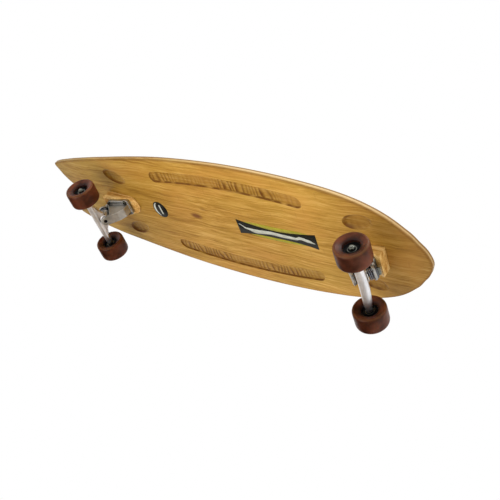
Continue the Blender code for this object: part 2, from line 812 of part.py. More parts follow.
BAMBOO = new_material("bamboo", (0.52, 0.31, 0.11), 0.35)
GRIP = new_material("grip", (0.03, 0.03, 0.03), 0.95)
RISER_WOOD = new_material("riser_wood", (0.62, 0.36, 0.14), 0.5)
CAST = new_material("cast_aluminium", (0.55, 0.55, 0.56), 0.45, 1.0)
CAST_POLISHED = new_material("polished_aluminium", (0.75, 0.75, 0.76), 0.25, 1.0)
STEEL = new_material("steel", (0.62, 0.62, 0.62), 0.3, 1.0)
SPRING_STEEL = new_material("spring_steel", (0.45, 0.46, 0.48), 0.3, 1.0)
BLACK_STEEL = new_material("black_steel", (0.04, 0.04, 0.045), 0.4, 1.0)
BRONZE = new_material("bronze", (0.55, 0.38, 0.18), 0.4, 1.0)
URETHANE = new_material("urethane", (0.13, 0.035, 0.03), 0.25)
BLACK_PLASTIC = new_material("black_plastic", (0.02, 0.02, 0.02), 0.45)

TRUCK_X = {
    "front": WHEELBASE_CENTRE_X + WHEELBASE / 2,
    "rear": WHEELBASE_CENTRE_X - WHEELBASE / 2,
}
TRUCK_TURN = {"front": math.pi, "rear": 0.0}
SIDE_NAMES = {"front": {1: "right", -1: "left"}, "rear": {1: "left", -1: "right"}}

DECK, GRIP_SHEET = build_deck()
for END, AXLE_X in TRUCK_X.items():
    TURN = Euler((0, 0, TRUCK_TURN[END])).to_matrix().to_4x4()
    FRAME = new_empty(f"truck_frame_{END}", None, Matrix.Translation((AXLE_X, 0, 0)) @ TURN)
    STEER = new_empty(f"steering_axis_{END}", FRAME, STEERING)
    RISER = build_riser(FRAME, END)
    BASE = build_base(FRAME, END)
    build_steering(FRAME, STEER, END)
    build_hanger(STEER, END)
    for SIDE, SIDE_NAME in SIDE_NAMES[END].items():
        build_wheel(STEER, END, SIDE, SIDE_NAME)
    build_bolts(FRAME, END, (DECK, GRIP_SHEET, RISER, BASE))
    weld(BASE)
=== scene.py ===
"""The looks of a surf-style longboard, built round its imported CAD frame.

Metres. +X points to the nose, +Y to the rider's left, +Z up, and the wheels stand on z = 0.
Each truck has a frame of its own, with its origin under the axle and +X to the board's middle.
"""

import json
import math

import bmesh
import bpy
from mathutils import Matrix, Vector, noise
from mathutils.geometry import delaunay_2d_cdt


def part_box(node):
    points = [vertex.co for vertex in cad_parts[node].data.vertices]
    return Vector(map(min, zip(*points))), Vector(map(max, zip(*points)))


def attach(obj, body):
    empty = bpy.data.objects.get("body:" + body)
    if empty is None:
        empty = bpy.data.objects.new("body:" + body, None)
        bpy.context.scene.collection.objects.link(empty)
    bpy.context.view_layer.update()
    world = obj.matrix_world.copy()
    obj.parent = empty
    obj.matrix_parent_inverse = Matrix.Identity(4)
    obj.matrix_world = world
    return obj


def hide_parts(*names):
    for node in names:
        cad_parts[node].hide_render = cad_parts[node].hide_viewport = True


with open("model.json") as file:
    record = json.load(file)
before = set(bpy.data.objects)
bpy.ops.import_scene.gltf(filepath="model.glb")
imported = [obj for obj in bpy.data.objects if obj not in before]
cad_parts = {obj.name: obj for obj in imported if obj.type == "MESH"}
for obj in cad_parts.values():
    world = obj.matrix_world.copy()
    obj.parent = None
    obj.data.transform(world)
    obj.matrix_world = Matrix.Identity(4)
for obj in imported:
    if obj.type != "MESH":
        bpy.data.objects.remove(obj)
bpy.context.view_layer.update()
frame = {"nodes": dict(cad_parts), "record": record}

# Camera
CAMERA_AT = (1.2242, -1.1772, -0.8823)
CAMERA_TURN_DEG = (127.154, -31.934, 20.284)
CAMERA_LENS = 52.95
CAMERA_SENSOR = 36

# Deck
HALF_OUTLINE = (
    (0.6163, 0.0000), (0.6133, 0.0165), (0.6053, 0.0368), (0.5913, 0.0566),
    (0.5758, 0.0782), (0.5638, 0.0901), (0.5398, 0.1121), (0.5148, 0.1296),
    (0.4888, 0.1431), (0.4608, 0.1547), (0.4038, 0.1706), (0.3118, 0.1854),
    (0.2128, 0.1946), (0.1048, 0.1988), (0.0248, 0.1981), (-0.0552, 0.1948),
    (-0.1442, 0.1881), (-0.2412, 0.1761), (-0.3462, 0.1600), (-0.4632, 0.1400),
    (-0.5432, 0.1217), (-0.6067, 0.1022), (-0.6162, 0.0968), (-0.6087, 0.0745),
    (-0.5982, 0.0550), (-0.5842, 0.0390), (-0.5652, 0.0210), (-0.5507, 0.0000),
)
OUTLINE_RESOLUTION = 9
RAIL_ROUNDING = 0.0026
RAIL_TOP_ROUNDING = 0.0015
RAIL_ROUNDING_STEPS = 5
RAIL_LANDING = 0.004
# Height up the rail, how pale it is there (partly a painted highlight), and how brown.
RAIL_TONES = (
    (0.0042, 0.35, 0.06),
    (0.0056, 1.0, 0.0),
    (0.0080, 1.0, 0.0),
    (0.0092, 0.8, 0.36),
    (0.0102, 0.7, 0.60),
)
DECK_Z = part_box("deck")[0].z
DECK_THICKNESS = 0.0140
# Where the rise starts along the board, over what length, and how high it gets.
NOSE_RISE = (0.5048, 0.125, 0.004)
TAIL_RISE = (-0.4152, 0.205, 0.010)
SKIN_STEP = 0.014
SKIN_HOLE_MARGIN = 0.006
SAME_POINT = 1e-7

# Bamboo
STRIP_WIDTH = 0.0185
GRAIN_WANDER = 0.022
KNUCKLE_SPACING = 0.31
KNUCKLE_STAGGER = 0.9
KNUCKLE_HALF_WIDTH = 0.009
# Centre of a brown mark, how much longer it is than wide, its core and reach, and its depth.
HEART_MARKS = (
    ((-0.0690, -0.0055), 2.0, 0.014, 0.030, 0.9),
    ((-0.0300, -0.0350), 6.0, 0.012, 0.026, 0.55),
)
TINT_REACH = 0.62
# Share of the way from -TINT_REACH to TINT_REACH, and the tint there.
END_TINT = (
    (0.02, (0.52, 0.53, 0.54)),
    (0.16, (0.69, 0.69, 0.58)),
    (0.32, (0.82, 0.79, 0.66)),
    (0.44, (1.0, 1.0, 1.0)),
    (0.58, (1.0, 1.0, 1.0)),
    (0.76, (1.07, 1.09, 1.16)),
    (0.90, (0.74, 0.68, 0.64)),
    (0.98, (0.56, 0.52, 0.54)),
)
SIDE_TINT_BAND = (0.11, 0.19)
SIDE_TINT = (0.76, 0.70, 0.56)
PLY_SCALE = 58.0

CHANNEL_X = 0.0608
CHANNEL_HALF_LENGTH = 0.2480
CHANNEL_HALF_WIDTH = 0.019
CHANNEL_Y = 0.140
CHANNEL_BOW = 0.28
CHANNEL_DEPTH = 0.0034
CHANNEL_WALL = 0.0030
CHANNEL_SIDE_STEPS = 200
CHANNEL_END_STEPS = 15
CHANNEL_RINGS = (
    -0.0008, 0.0, 0.0005, 0.0010, 0.0016, 0.0022, 0.0028, 0.0036,
    0.0050, 0.0070, 0.0095, 0.0120, 0.0145, 0.0170, 0.0183,
)
# Each pair says how far from the edge it begins, and over what length: the floor's painted shade,
# the ripple, and the fading of the walls' painted shadow.
CHANNEL_FLOOR = (0.0020, 0.0020)
RIPPLE_SETTLES = (0.0015, 0.0030)
WALL_SHADOW_FADES = (0.0034, 0.0026)
# How soon the walls' painted shadow starts from the edge, and which way the shaded walls face.
WALL_SHADOW_START = 0.0006
SHADED_SIDE = Vector((-0.62, 0.78))
SHADOW_FROM = 0.004
RIPPLE_PITCH = 0.0132
RIPPLE_HEIGHT = 0.0016
CHATTER_POWER = 1.3

WELL_INWARD = 0.040
WELL_Y = 0.098
WELL_HALF_LENGTH = 0.042
WELL_HALF_WIDTH = 0.0235
WELL_DEPTH = 0.0052
WELL_TURN = math.radians(16)
WELL_STEPS = 64
# How much painted shade a well's floor gets, by which way it lies from its axle.
WELL_SHADE = {-1: 0.60, 1: 0.24}
WELL_RINGS = (1.03, 1.0, 0.97, 0.93, 0.88, 0.80, 0.70, 0.58, 0.44, 0.28, 0.12)
# Shares of the well's size, from its edge inward.
WELL_WALL = 0.34
WELL_LIP = 0.03
WELL_FLOOR = 0.2
# Where the well walls' painted shadow fades out, and over what share.
WELL_WALL_SHADOW_TO = 0.14
WELL_WALL_SHADOW_FADE = 0.26

# Stickers on the underside
STICKER_LAYER = 0.00012
STICKER_GAP = 0.00002
STRIP_X = 0.1968
STRIP_HALF_LENGTH = 0.1222
STRIP_STEPS = 60
# For each side: half the width in the middle, what the ends add, and the curve's power.
STRIP_FLARE = {-1: (0.0100, 0.0155, 1.7), 1: (0.0152, 0.0096, 3)}
LIME_GAP = 0.0002
LIME_THINNEST = 0.0001
# Side, share of the strip's length, greatest width, name.
LIME_EDGES = ((-1, 0.80, 0.0125, "right"), (1, 0.72, 0.0095, "left"))
WAVE_STEPS = 6
# Along the board, across it, half the width of the band there.
WAVE = (
    (0.080, -0.0100, 0.0012), (0.102, 0.0015, 0.0030), (0.130, 0.0058, 0.0068),
    (0.180, 0.0010, 0.0056), (0.220, 0.0022, 0.0054), (0.256, 0.0026, 0.0042),
    (0.270, -0.0024, 0.0050), (0.294, 0.0016, 0.0050), (0.312, 0.0062, 0.0014),
)
BADGE_X = -0.2070
BADGE_HALF_LENGTH = 0.0258
BADGE_HALF_WIDTH = 0.0290
ARC_FROM, ARC_TO = 8, -6
ARC_OUTER = (0.0228, 0.0255)
ARC_INNER_HALF_WIDTH = 0.0235
ARC_THICKNESS = 0.0075
BAR_HALF_LENGTH = 0.0165
BAR_EDGES = (-0.0005, 0.0050)
BAR_LEAN = 0.06
BAR_STEPS = 12

# Trucks
AXIS_X = 0.028
AXIS_Z = 0.046
AXIS_TILT = math.radians(45)
CAST_VOXEL = 0.0008
CAST_SMOOTHING = 9
CAST_KEEP = 0.32
# Where the painted shade round the spring's housing ends, and over what length: across the pin, and
# along it.
HOUSING_RADIUS = (0.0162, 0.0014)
HOUSING_FROM = (0.0500, 0.0030)
CREVICE_REACH = 0.015
RISER_EDGE = 0.0006
PIN_RADIUS = 0.0049
PIN_FROM = 0.0045
PIN_SOCKET = 0.0050
PIN_HEAD_FROM, PIN_HEAD_TO = 0.0604, 0.0674
PIN_HEAD_ACROSS_FLATS = 0.017
BORE_RADIUS = 0.0053
# Radius, and the two ends along the pin.
WASHER = (0.0115, 0.0073, 0.0093)
SEAT = (0.0152, 0.0333, 0.0363)
WASHER_EDGE = 0.0005
SPRING_FROM, SPRING_TO = 0.0366, 0.0533
SPRING_RADIUS = 0.0124
SPRING_WIRE = 0.0018
SPRING_TURNS = 3
SPRING_POINTS = 40
BOLT_XS = (0.003, 0.057)
BOLT_Y = 0.0206
BOLT_RADIUS = 0.0024
BOLT_HEAD_RADIUS = 0.0048
BOLT_HEAD_HEIGHT = 0.0028
BOLT_SOCKET = 0.0032
BOLT_NUT_ACROSS_FLATS = 0.008
BOLT_NUT_BODY = 0.7
ROUND_STEPS = 48
HEX_CREASE = 28
TURNED_CREASE = 35

# Wheels
WHEEL_STEPS = 72
WHEEL_Y = 0.1019
CORE_Y = 0.1005
BEARING_STEP = 0.0085
BEARING_BORE = 0.0043
AXLE_RADIUS = 0.00395
AXLE_END = 0.1215
THREAD_FROM = 0.1125
THREAD_PITCH = 0.00125
THREAD_DEPTH = 0.00028
THREAD_LEVELS = 6
AXLE_NUT_ACROSS_FLATS = 0.013
AXLE_NUT_BODY = 0.72
# Where each look begins on a tyre, and over what length: the dish's painted shade, and the lip's
# painted highlight.
DISH_EDGE = (0.0215, 0.0085)
LIP_FROM_RADIUS = (0.0345, 0.0035)
LIP_FROM_MIDDLE = (0.0200, 0.0035)
# Radius and distance from the middle plane, from the bore to the tread.
TYRE_HALF = (
    (0.0203, 0.0132), (0.0206, 0.0168), (0.0213, 0.0182), (0.0228, 0.0192),
    (0.0250, 0.0202), (0.0290, 0.0221), (0.0325, 0.0239), (0.0340, 0.0247),
    (0.0353, 0.0251), (0.0366, 0.0251), (0.0380, 0.0247), (0.0392, 0.0239),
    (0.0402, 0.0226), (0.0409, 0.0209), (0.0413, 0.0188), (0.0415, 0.0160),
    (0.0415, 0.0080),
)
CORE_HALF = (
    (0.0078, 0.0048), (0.0111, 0.0048), (0.0113, 0.0124), (0.0117, 0.0130),
    (0.0128, 0.0130), (0.0133, 0.0124), (0.0136, 0.0098), (0.0142, 0.0090),
    (0.0176, 0.0090), (0.0183, 0.0098), (0.0186, 0.0124), (0.0189, 0.0130),
    (0.0197, 0.0131), (0.0200, 0.0127),
)
RACE_HALF = (
    (0.0043, 0.0031), (0.0047, 0.0035), (0.0060, 0.0035), (0.0062, 0.0028),
    (0.0090, 0.0028), (0.0092, 0.0035), (0.0106, 0.0035), (0.0110, 0.0031),
)
SEAL_HALF = ((0.0063, 0.0029), (0.0063, 0.0033), (0.0089, 0.0033), (0.0089, 0.0029))

# Stage
FLOOR_HALF_SIZE = 40.0
FLOOR_Z = -0.0004
LIGHTS_AIM = (0, 0, 0.1)
# Name, place, width, power.
LIGHTS = (
    ("key_below", (-0.4, -0.3, -2.2), 1.6, 28),
    ("key_above", (0.9, -1.4, 2.4), 1.8, 40),
)


# -------- helpers


def linked(name, data):
    """A new object in the scene."""
    obj = bpy.data.objects.new(name, data)
    bpy.context.scene.collection.objects.link(obj)
    return obj


def finished(obj, body, slot, look=None, crease=None):
    """Gives a piece its look and its body. Edges that turn more than the crease stay sharp."""
    obj.data.materials.clear()
    obj.data.materials.append(MATERIALS[look or slot])
    obj.data.shade_smooth()
    if crease:
        obj.data.set_sharp_from_angle(angle=math.radians(crease))
    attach(obj, body)


def made(name, work):
    """The object that a bmesh turns into."""
    bmesh.ops.recalc_face_normals(work, faces=work.faces[:])
    mesh = bpy.data.meshes.new(name)
    work.to_mesh(mesh)
    work.free()
    return linked(name, mesh)


def evaluated(obj):
    """The mesh that an object's curve or modifiers give."""
    graph = bpy.context.evaluated_depsgraph_get()
    return bpy.data.meshes.new_from_object(obj.evaluated_get(graph))


def curve_mesh(curve):
    helper = linked("helper", curve)
    mesh = evaluated(helper)
    bpy.data.objects.remove(helper, do_unlink=True)
    return mesh


def bridge(work, near, far):
    for i in range(len(near)):
        work.faces.new((near[i - 1], near[i], far[i], far[i - 1]))


def skin(name, rings, spot, closed):
    """Rings of points, each joined to the next, set in place by spot."""
    work = bmesh.new()
    loops = [[work.verts.new(spot @ Vector(point)) for point in ring] for ring in rings]
    for near, far in zip(loops, loops[1:]):
        bridge(work, near, far)
    if closed:
        bridge(work, loops[-1], loops[0])
    else:
        work.faces.new(loops[0])
        work.faces.new(loops[-1])
    return made(name, work)


def around(radius, height, steps):
    """A ring about Z. The radius is a number, or a function of the angle."""
    ring = []
    for i in range(steps):
        a = 2 * math.pi * i / steps
        r = radius(a) if callable(radius) else radius
        ring.append((r * math.cos(a), r * math.sin(a), height))
    return ring


def hexagon(across_flats, limit=1.0):
    """The radius, by angle, of a hexagon whose corners are cut off at a limit."""

    def radius(angle):
        turn = (angle + math.pi / 6) % (math.pi / 3) - math.pi / 6
        return min(across_flats / 2 / math.cos(turn), limit)

    return radius


def turned(name, profile, spot, steps=ROUND_STEPS, closed=False):
    """A profile of (radius, height) turned about Z. A radius can be a function of the angle."""
    return skin(name, [around(r, z, steps) for r, z in profile], spot, closed)


def lathe(name, profile, spot):
    """A closed profile, turned in finer steps."""
    return turned(name, profile, spot, WHEEL_STEPS, closed=True)


def mirrored(half):
    """A closed profile, from the half on one side of its middle plane."""
    return list(half) + [(r, -z) for r, z in reversed(half)]


def smooth_step(share):
    share = min(1.0, max(0.0, share))
    return share * share * (3 - 2 * share)


def eased(value, start, length):
    """From 0 at start to 1 one length further on."""
    return smooth_step((value - start) / length)


# -------- materials


def set_inputs(node, **values):
    for socket, value in values.items():
        node.inputs[socket.replace("_", " ")].default_value = value


class Nodes:
    """A small helper that wires up one procedural material."""

    def __init__(self, name, **values):
        self.material = bpy.data.materials.new(name)
        self.material.use_nodes = True
        self.tree = self.material.node_tree
        self.shader = self.tree.nodes["Principled BSDF"]
        set_inputs(self.shader, **values)
        self.place = self.add("ShaderNodeTexCoord").outputs["Object"]

    def add(self, kind, **settings):
        node = self.tree.nodes.new(kind)
        for key, value in settings.items():
            setattr(node, key, value)
        return node

    def join(self, source, target):
        self.tree.links.new(source, target)

    def feed(self, socket, source):
        """Joins a node's output to one of the shader's own sockets."""
        self.join(source, self.shader.inputs[socket])

    def roughen(self, source, low, high):
        """Roughness that follows the middle range of a noise."""
        self.feed("Roughness", self.span(source, 0.3, 0.7, low, high))

    def stretched(self, scale, shift=(0, 0, 0)):
        node = self.add("ShaderNodeMapping")
        self.join(self.place, node.inputs["Vector"])
        set_inputs(node, Location=shift, Scale=scale)
        return node.outputs["Vector"]

    def noise(self, scale, stretch=(1, 1, 1), detail=3.0, rough=0.55, distortion=0.0):
        node = self.add("ShaderNodeTexNoise")
        self.join(self.stretched(stretch), node.inputs["Vector"])
        set_inputs(node, Scale=scale, Detail=detail, Roughness=rough, Distortion=distortion)
        return node.outputs["Fac"]

    def plug(self, sockets, values):
        """Gives each socket a number, a colour or another node's output."""
        for socket, value in zip(sockets, values):
            if isinstance(value, (int, float)):
                socket.default_value = value
            elif isinstance(value, tuple):
                socket.default_value = (*value, 1)
            else:
                self.join(value, socket)

    def math(self, kind, a, b=0.0):
        node = self.add("ShaderNodeMath", operation=kind)
        self.plug(node.inputs, (a, b))
        return node.outputs[0]

    def ramp(self, source, stops):
        node = self.add("ShaderNodeValToRGB")
        self.join(source, node.inputs["Fac"])
        elements = node.color_ramp.elements
        while len(elements) < len(stops):
            elements.new(0.5)
        for element, (position, colour) in zip(elements, stops):
            element.position = position
            element.color = (*colour, 1)
        return node.outputs["Color"]

    def span(self, source, low, high, to_low, to_high):
        """The source's range from low to high, carried over to another range."""
        node = self.add("ShaderNodeMapRange")
        self.plug(node.inputs[:5], (source, low, high, to_low, to_high))
        return node.outputs["Result"]

    def mix(self, factor, a, b, blend="MIX"):
        """Colour a turned towards colour b."""
        node = self.add("ShaderNodeMix", data_type="RGBA", blend_type=blend)
        self.plug((node.inputs[0], node.inputs[6], node.inputs[7]), (factor, a, b))
        return node.outputs[2]

    def bump(self, height, strength, distance):
        node = self.add("ShaderNodeBump")
        set_inputs(node, Strength=strength, Distance=distance)
        self.join(height, node.inputs["Height"])
        self.feed("Normal", node.outputs["Normal"])

    def attribute(self, name, share=1.0):
        """A share of what the mesh keeps at each vertex under a name."""
        node = self.add("ShaderNodeAttribute", attribute_name=name)
        return self.math("MULTIPLY", node.outputs["Fac"], share)


def srgb(red, green, blue):
    """A colour as it looks on a screen, 0 to 255, turned into the linear values nodes use."""
    return tuple(
        c / 255 / 12.92 if c <= 10 else ((c / 255 + 0.055) / 1.055) ** 2.4
        for c in (red, green, blue)
    )


def bamboo_material():
    nodes = Nodes("bamboo", Roughness=0.5, Specular_IOR_Level=0.16)
    split = nodes.add("ShaderNodeSeparateXYZ")
    nodes.join(nodes.place, split.inputs[0])
    x, y, z = split.outputs

    # Strips of bamboo side by side, each a little lighter or darker than the next.
    strip = nodes.math("FLOOR", nodes.math("DIVIDE", y, STRIP_WIDTH))
    tone = nodes.add("ShaderNodeTexWhiteNoise", noise_dimensions="1D")
    nodes.join(strip, tone.inputs["W"])

    # Fibres run along the board and wander a little from side to side.
    drift = nodes.noise(1.0, (8.0, 12.0, 12.0), detail=3.0)
    wander = nodes.math("ADD", y, nodes.math("MULTIPLY", drift, GRAIN_WANDER))
    bent = nodes.add("ShaderNodeCombineXYZ")
    nodes.plug(bent.inputs, (x, wander, z))
    straight = nodes.place
    nodes.place = bent.outputs[0]
    fibre = nodes.noise(1.0, (18, 330, 330), detail=4.0, rough=0.7)
    streak = nodes.noise(1.0, (10.0, 165, 165), detail=5.0, rough=0.7)
    broad = nodes.noise(1.0, (4.5, 46, 46), detail=3.0)
    nodes.place = straight
    cloud = nodes.noise(1.0, (6.0, 13, 13), detail=3.0)
    grain = nodes.math("MULTIPLY", fibre, 0.34)
    for layer, weight in ((streak, 0.38), (broad, 0.24), (tone.outputs["Value"], 0.04)):
        grain = nodes.math("ADD", grain, nodes.math("MULTIPLY", layer, weight))
    stops = (
        (0.37, srgb(136, 95, 30)),
        (0.45, srgb(166, 124, 46)),
        (0.52, srgb(188, 146, 64)),
        (0.61, srgb(208, 169, 92)),
    )
    colour = nodes.ramp(grain, stops)
    warm = nodes.mix(nodes.span(cloud, 0.50, 0.66, 0.0, 0.55), colour, srgb(188, 138, 62))
    colour = nodes.mix(nodes.span(cloud, 0.34, 0.48, 0.32, 0.0), warm, srgb(170, 136, 50))

    # The knuckles of the cane: thin lines across a strip, in places of its own.
    shift = nodes.math("MULTIPLY", tone.outputs["Value"], KNUCKLE_STAGGER)
    along = nodes.math("ADD", x, shift)
    phase = nodes.math("FRACT", nodes.math("DIVIDE", along, KNUCKLE_SPACING))
    knuckle = nodes.math("ABSOLUTE", nodes.math("SUBTRACT", phase, 0.5))
    knuckle = nodes.span(knuckle, 0.0, KNUCKLE_HALF_WIDTH, 0.16, 0.0)
    colour = nodes.mix(knuckle, colour, srgb(120, 78, 30))

    # One brown heart mark near the middle of the board, with a thin streak beside it.
    for (mark_x, mark_y), squash, core, reach, depth in HEART_MARKS:
        mark = nodes.add("ShaderNodeVectorMath", operation="DISTANCE")
        placed = nodes.stretched((1.0, squash, 0.0), (-mark_x, -mark_y * squash, 0.0))
        nodes.join(placed, mark.inputs[0])
        heart = nodes.math("ADD", mark.outputs["Value"], nodes.math("MULTIPLY", streak, 0.010))
        heart = nodes.span(heart, core, reach, depth, 0.0)
        colour = nodes.mix(heart, colour, srgb(112, 66, 30))

    # The wood is darker towards the tail, the nose and the sides, and a little lighter and bluer in
    # the front half.
    ends = nodes.ramp(nodes.span(x, -TINT_REACH, TINT_REACH, 0.0, 1.0), END_TINT)
    colour = nodes.mix(1.0, colour, ends, blend="MULTIPLY")
    sides = nodes.span(nodes.math("ABSOLUTE", y), *SIDE_TINT_BAND, 0.0, 0.28)
    colour = nodes.mix(sides, colour, SIDE_TINT, blend="MULTIPLY")

    # The rail shows the plies, paler towards the nose, and this pale band is partly a painted
    # highlight. The dark mix is painted shade in the routed hollows and on the rail's underside
    # rounding, and brown towards the rail's top.
    rising = nodes.span(x, -0.16, 0.20, 0.12, 0.80)
    falling = nodes.span(x, 0.42, 0.60, 1.0, 0.35)
    paler = nodes.math("MULTIPLY", rising, falling)
    plies = nodes.add("ShaderNodeTexWave", bands_direction="Z", wave_type="BANDS")
    nodes.join(nodes.stretched((1, 1, 1)), plies.inputs["Vector"])
    set_inputs(plies, Scale=PLY_SCALE, Distortion=0.6)
    edge = nodes.ramp(
        plies.outputs["Fac"],
        ((0.0, srgb(204, 172, 118)), (0.3, srgb(222, 194, 146)), (1.0, srgb(230, 206, 162))),
    )
    colour = nodes.mix(nodes.attribute("rail", paler), colour, edge)
    colour = nodes.mix(nodes.attribute("shade_and_brown"), colour, srgb(100, 59, 0))
    nodes.feed("Base Color", colour)

    nodes.roughen(streak, 0.56, 0.42)
    nodes.bump(fibre, 0.25, 0.0006)
    return nodes.material


def grip_material():
    nodes = Nodes("grip", Roughness=0.95)
    grit = nodes.noise(1500, detail=2.0)
    colour = nodes.ramp(grit, ((0.35, srgb(14, 14, 14)), (0.7, srgb(58, 57, 55))))
    worn = nodes.noise(5, (1, 2, 1), detail=3.0)
    colour = nodes.mix(nodes.span(worn, 0.5, 0.8, 0.0, 0.25), colour, srgb(70, 68, 64))
    nodes.feed("Base Color", colour)
    nodes.bump(grit, 0.9, 0.0006)
    return nodes.material


def riser_material():
    nodes = Nodes(
        "riser_wood", Roughness=0.45, Coat_Weight=0.1, Coat_Roughness=0.25, Specular_IOR_Level=0.25
    )
    fibre = nodes.noise(1.0, (14, 300, 480), detail=4.0, rough=0.6)
    streak = nodes.noise(1.0, (5, 40, 120), detail=4.0, distortion=0.3)
    grain = nodes.math("MULTIPLY", streak, 0.55)
    grain = nodes.math("ADD", grain, nodes.math("MULTIPLY", fibre, 0.45))
    stops = ((0.38, srgb(166, 113, 46)), (0.48, srgb(206, 158, 82)), (0.60, srgb(238, 200, 130)))
    colour = nodes.ramp(grain, stops)
    nodes.feed("Base Color", colour)
    nodes.roughen(streak, 0.5, 0.36)
    nodes.bump(fibre, 0.3, 0.0005)
    return nodes.material


def urethane_material():
    nodes = Nodes("urethane", Roughness=0.34, IOR=1.45, Specular_IOR_Level=0.15)
    set_inputs(nodes.shader, Subsurface_Weight=0.3, Subsurface_Scale=0.010)
    set_inputs(nodes.shader, Subsurface_Radius=(1.0, 0.2, 0.06))
    cloud = nodes.noise(26, detail=3.0)
    scuff = nodes.noise(160, detail=5.0, rough=0.7)
    colour = nodes.ramp(cloud, ((0.36, srgb(66, 33, 19)), (0.64, srgb(106, 57, 36))))
    dusty = nodes.span(scuff, 0.58, 0.78, 0.0, 0.08)
    colour = nodes.mix(dusty, colour, srgb(112, 78, 64))
    # Painted shade deep in the dish, and a painted highlight round the lip.
    colour = nodes.mix(nodes.attribute("dish_shade", 0.8), colour, srgb(26, 15, 16))
    colour = nodes.mix(nodes.attribute("lip_highlight", 0.2), colour, srgb(140, 100, 52))
    nodes.feed("Base Color", colour)
    nodes.roughen(scuff, 0.28, 0.46)
    nodes.bump(scuff, 0.12, 0.0004)
    return nodes.material


def metal_material(name, dark, light, rough, grit_scale, grit_depth, crevice_shade, housing_shade):
    """Clouded metal, with painted shade in its crevices and, where asked, on the metal round the
    spring's housing.
    """
    nodes = Nodes(name, Metallic=1.0)
    cloud = nodes.noise(38, detail=4.0, rough=0.6)
    grit = nodes.noise(grit_scale, detail=3.0, rough=0.6)
    colour = nodes.ramp(cloud, ((0.35, srgb(*dark)), (0.65, srgb(*light))))
    if crevice_shade:
        # Painted shade in the crevices, from ambient occlusion.
        shade = nodes.add("ShaderNodeAmbientOcclusion", samples=8)
        set_inputs(shade, Distance=CREVICE_REACH)
        painted_crevice_shade = nodes.span(shade.outputs["AO"], 0.25, 0.85, crevice_shade, 0.0)
        colour = nodes.mix(painted_crevice_shade, colour, srgb(52, 50, 46))
    if housing_shade:
        # Painted shade on the metal round the spring's housing.
        colour = nodes.mix(nodes.attribute("housing_shade", housing_shade), colour, srgb(72, 74, 82))
    nodes.feed("Base Color", colour)
    nodes.roughen(cloud, *rough)
    nodes.bump(grit, 0.5, grit_depth)
    return nodes.material


def plastic_material(name, dark, light, roughness):
    nodes = Nodes(name, Roughness=roughness, Specular_IOR_Level=0.16)
    cloud = nodes.noise(60, detail=3.0)
    grit = nodes.noise(900, detail=2.0)
    colour = nodes.ramp(cloud, ((0.3, srgb(*dark)), (0.7, srgb(*light))))
    nodes.feed("Base Color", colour)
    nodes.roughen(cloud, roughness - 0.06, roughness + 0.06)
    nodes.bump(grit, 0.3, 0.0002)
    return nodes.material


# Dark and light colour, range of roughness, grit's scale and depth, painted crevice shade, painted
# shade round the housing.
METALS = {
    "cast_aluminium": ((158, 158, 154), (194, 194, 190), (0.34, 0.5), 700, 0.0003, 0.95, 0.85),
    "polished_aluminium": ((222, 222, 224), (240, 240, 242), (0.28, 0.42), 420, 0.0001, 0.55, 0),
    "steel": ((88, 90, 82), (132, 134, 124), (0.26, 0.4), 900, 0.00008, 0.8, 0),
    "bright_steel": ((206, 206, 202), (234, 234, 230), (0.2, 0.32), 900, 0.00008, 0.2, 0),
    "spring_steel": ((112, 116, 126), (156, 160, 170), (0.16, 0.3), 900, 0.00008, 0.9, 0),
    "black_steel": ((30, 30, 33), (46, 46, 50), (0.36, 0.5), 900, 0.0001, 0, 0),
    "bronze": ((158, 124, 78), (186, 150, 100), (0.35, 0.5), 800, 0.0001, 0, 0),
}
# Dark and light colour, and roughness.
PLASTICS = {
    "black_plastic": ((6, 6, 7), (14, 14, 14), 0.55),
    "sticker_black": ((8, 9, 6), (18, 20, 12), 0.5),
    "sticker_pale": ((176, 184, 176), (206, 212, 204), 0.45),
    "sticker_lime": ((150, 146, 34), (176, 170, 58), 0.5),
}
MATERIALS = {
    "bamboo": bamboo_material(),
    "grip": grip_material(),
    "riser_wood": riser_material(),
    "urethane": urethane_material(),
    **{name: metal_material(name, *row) for name, row in METALS.items()},
    **{name: plastic_material(name, *row) for name, row in PLASTICS.items()},
}


# -------- deck


def rise(x):
    """How far the nose and tail lift, smoothly, above the flat middle."""
    start, length, height = NOSE_RISE
    nose = max(0.0, (x - start) / length)
    start, length, tail_height = TAIL_RISE
    tail = max(0.0, (start - x) / length)
    return height * nose**2 + tail_height * tail**2


def deck_outline():
    """The outline as a ring of points, anticlockwise seen from above."""
    knots = HALF_OUTLINE + tuple((x, -y) for x, y in reversed(HALF_OUTLINE[1:-1]))
    curve = bpy.data.curves.new("outline", "CURVE")
    curve.dimensions = "2D"
    curve.fill_mode = "NONE"
    curve.resolution_u = OUTLINE_RESOLUTION
    spline = curve.splines.new("BEZIER")
    spline.bezier_points.add(len(knots) - 1)
    for point, (x, y) in zip(spline.bezier_points, knots):
        point.co = (x, y, 0)
        point.handle_left_type = point.handle_right_type = "AUTO"
    spline.use_cyclic_u = True
    ring = [Vector(v.co[:2]) for v in curve_mesh(curve).vertices]
    area = sum(a.x * b.y - b.x * a.y for a, b in zip(ring, ring[1:] + ring[:1]))
    return ring if area > 0 else ring[::-1]


def inset(ring, distance):
    """The ring, moved inward by distance along its own normals."""
    moved = []
    for i, point in enumerate(ring):
        along = (ring[(i + 1) % len(ring)] - ring[i - 1]).normalized()
        moved.append(point + Vector((-along.y, along.x)) * distance)
    return moved


def capsule(radius, side):
    """Points round a channel at a distance from its bowed centre line."""
    straight = CHANNEL_HALF_LENGTH - CHANNEL_HALF_WIDTH
    steps = CHANNEL_SIDE_STEPS
    ends = CHANNEL_END_STEPS
    spots = [(straight * (2 * i / steps - 1), -radius) for i in range(steps)]
    turns = [math.pi * (i / ends - 0.5) for i in range(ends)]
    spots += [(straight + radius * math.cos(a), radius * math.sin(a)) for a in turns]
    spots += [(-u, -v) for u, v in spots]
    return [
        Vector((CHANNEL_X + u, side * (CHANNEL_Y - CHANNEL_BOW * u * u + v))) for u, v in spots
    ]


